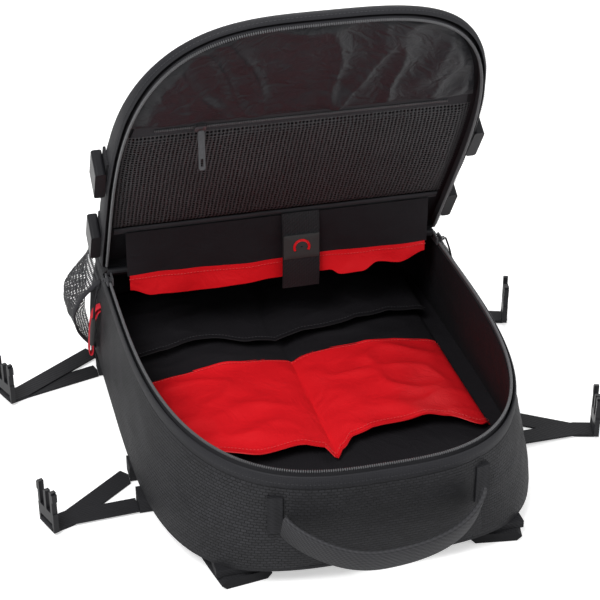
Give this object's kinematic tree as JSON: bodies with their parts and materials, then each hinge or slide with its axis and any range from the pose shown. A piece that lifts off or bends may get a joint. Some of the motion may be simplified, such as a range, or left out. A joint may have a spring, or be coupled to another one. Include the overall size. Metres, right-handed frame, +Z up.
{
  "type": "backpack",
  "caption": "Clamshell backpack lying open on its back, with a hinged zip lid, inner pockets, carry handle and compression straps.",
  "frame": {"origin": "middle of the middle back pad's resting face, on the floor", "axes": "+Z up from the floor through the open bag, +Y towards the bag's foot, -Y towards its crown and carry handle, +X to the right seen from the crown"},
  "size_m": [0.5564, 0.5388, 0.4551],
  "materials": {
    "ballistic_shell": "coarse ribbed ballistic weave",
    "plain_shell": "smooth plain weave",
    "pad_fabric": "spacer mesh over foam",
    "webbing": "woven nylon webbing",
    "moulded_black": "satin moulded acetal",
    "lining": "coated taffeta with a soft sheen",
    "red_lining": "coated taffeta with a soft sheen",
    "red_webbing": "woven ribbon",
    "mesh": "open knit mesh",
    "binding_tape": "ribbed binding tape",
    "zip_tape": "herringbone zip tape",
    "zip_coil": "nylon coil",
    "slider_metal": "black lacquered die casting",
    "pull_cord": "braided cord",
    "grip_rubber": "soft moulded grip",
    "badge": "soft moulded patch with a plain red arc"
  },
  "bodies": {
    "bag": {"back_panel": "plain_shell", "back_pads": "pad_fabric", "shoulder_strap_left": "pad_fabric", "shoulder_strap_right": "pad_fabric", "strap_adjusters": "moulded_black", "strap_webbing": "webbing", "top_end_panel": "ballistic_shell", "left_side_panel": "ballistic_shell", "right_side_panel": "ballistic_shell", "base_end_panel": "ballistic_shell", "rim_band": "plain_shell", "base_front_panel": "ballistic_shell", "main_lining": "lining", "body_zipper_tape": "zip_tape", "body_zipper_teeth": "zip_coil", "hinge_strip": "plain_shell", "red_pocket": "red_lining", "laptop_sleeve": "lining", "tablet_pocket": "lining", "bottle_pocket_left": "mesh", "bottle_pocket_right": "mesh", "bottle_pocket_bindings": "binding_tape", "handle_anchors": "webbing", "webbing_anchors": "webbing"},
    "lid": {"lid_gusset": "plain_shell", "lid_front_panel": "ballistic_shell", "front_pocket": "ballistic_shell", "lid_zipper_tape": "zip_tape", "lid_zipper_teeth": "zip_coil", "lid_lining": "lining", "upper_lining_panel": "lining", "mesh_panel": "mesh", "mesh_binding": "binding_tape", "pocket_zipper_tape": "zip_tape", "pocket_zipper_teeth": "zip_coil", "female_buckles": "moulded_black", "buckle_tabs": "webbing"},
    "handle": {"carry_handle": "webbing"},
    "pocket_car": {"pocket_slider": "slider_metal"},
    "pocket_tag": {"pocket_pull": "slider_metal"},
    "flap": {"flap_panel": "lining", "flap_red_hem": "red_lining"},
    "headset_loop": {"headset_strap": "webbing", "headset_badge": "badge"},
    "slider_left": {"main_slider_left": "slider_metal"},
    "pull_left": {"pull_cord_left": "pull_cord", "pull_grip_left": "grip_rubber"},
    "tab_left": {"red_tab_left": "red_webbing"},
    "slider_right": {"main_slider_right": "slider_metal"},
    "pull_right": {"pull_cord_right": "pull_cord", "pull_grip_right": "grip_rubber"},
    "tab_right": {"red_tab_right": "red_webbing"},
    "strap_left_far": {"compression_strap_left_far": "webbing"},
    "buckle_left_far": {"male_buckle_left_far": "moulded_black"},
    "strap_left_near": {"compression_strap_left_near": "webbing"},
    "buckle_left_near": {"male_buckle_left_near": "moulded_black"},
    "strap_right_far": {"compression_strap_right_far": "webbing"},
    "buckle_right_far": {"male_buckle_right_far": "moulded_black"},
    "strap_right_near": {"compression_strap_right_near": "webbing"},
    "buckle_right_near": {"male_buckle_right_near": "moulded_black"}
  },
  "joints": [
    {"name": "lid_hinge", "type": "hinge", "parent": "bag", "child": "lid", "pos_m": [0, 0.135, 0.12], "axis": [1, 0, 0], "range_deg": [-20, 56.5]},
    {"name": "handle_swing", "type": "hinge", "parent": "bag", "child": "handle", "pos_m": [0, -0.23607, 0.076], "axis": [-1, 0, 0], "range_deg": [-4, 55]},
    {"name": "main_slider_left_slide", "type": "slide", "parent": "bag", "child": "slider_left", "axis": [0, -1, 0], "range_m": [0, 0.068]},
    {"name": "pull_left_swing", "type": "hinge", "parent": "slider_left", "child": "pull_left", "pos_m": [-0.1738, 0.1195, 0.12], "axis": [0, 1, 0], "range_deg": [0, 45]},
    {"name": "red_tab_left_swing", "type": "hinge", "parent": "bag", "child": "tab_left", "pos_m": [-0.17638, 0.14, 0.08], "axis": [0, 1, 0], "range_deg": [0, 80]},
    {"name": "main_slider_right_slide", "type": "slide", "parent": "bag", "child": "slider_right", "axis": [0, -1, 0], "range_m": [0, 0.068]},
    {"name": "pull_right_swing", "type": "hinge", "parent": "slider_right", "child": "pull_right", "pos_m": [0.1738, 0.1195, 0.12], "axis": [0, -1, 0], "range_deg": [0, 45]},
    {"name": "red_tab_right_swing", "type": "hinge", "parent": "bag", "child": "tab_right", "pos_m": [0.17449, 0.14, 0.096], "axis": [0, -1, 0], "range_deg": [0, 80]},
    {"name": "strap_left_far_swing", "type": "hinge", "parent": "bag", "child": "strap_left_far", "pos_m": [-0.1834, 0.157, 0.0037], "axis": [0, 1, 0], "range_deg": [0, 25]},
    {"name": "buckle_left_far_tilt", "type": "hinge", "parent": "strap_left_far", "child": "buckle_left_far", "pos_m": [-0.278, 0.117, 0.0048], "axis": [0.3894, -0.9211, 0], "range_deg": [0, 80]},
    {"name": "strap_left_near_swing", "type": "hinge", "parent": "bag", "child": "strap_left_near", "pos_m": [-0.1834, -0.07, 0.0037], "axis": [0, 1, 0], "range_deg": [0, 50]},
    {"name": "buckle_left_near_tilt", "type": "hinge", "parent": "strap_left_near", "child": "buckle_left_near", "pos_m": [-0.264, -0.101, 0.0048], "axis": [0.359, -0.9333, 0], "range_deg": [0, 80]},
    {"name": "strap_right_far_swing", "type": "hinge", "parent": "bag", "child": "strap_right_far", "pos_m": [0.1834, 0.165, 0.0037], "axis": [0, -1, 0], "range_deg": [0, 25]},
    {"name": "buckle_right_far_tilt", "type": "hinge", "parent": "strap_right_far", "child": "buckle_right_far", "pos_m": [0.256, 0.141, 0.0048], "axis": [0.3139, 0.9495, 0], "range_deg": [0, 80]},
    {"name": "strap_right_near_swing", "type": "hinge", "parent": "bag", "child": "strap_right_near", "pos_m": [0.1834, -0.06, 0.0037], "axis": [0, -1, 0], "range_deg": [0, 50]},
    {"name": "buckle_right_near_tilt", "type": "hinge", "parent": "strap_right_near", "child": "buckle_right_near", "pos_m": [0.264, -0.083, 0.0048], "axis": [0.2744, 0.9616, 0], "range_deg": [0, 80]},
    {"name": "pocket_slider_slide", "type": "slide", "parent": "lid", "child": "pocket_car", "axis": [1, 0, 0], "range_m": [-0.03, 0.215]},
    {"name": "pocket_pull_swing", "type": "hinge", "parent": "pocket_car", "child": "pocket_tag", "pos_m": [-0.094, 0.01259, 0.31599], "axis": [1, 0, 0], "range_deg": [-40, 33]},
    {"name": "flap_swing", "type": "hinge", "parent": "lid", "child": "flap", "pos_m": [0, 0.1067, 0.17562], "axis": [1, 0, 0], "range_deg": [-60, 15]},
    {"name": "headset_strap_swing", "type": "hinge", "parent": "flap", "child": "headset_loop", "pos_m": [0.02, 0.1046, 0.17562], "axis": [-1, 0, 0], "range_deg": [0, 60]}
  ]
}
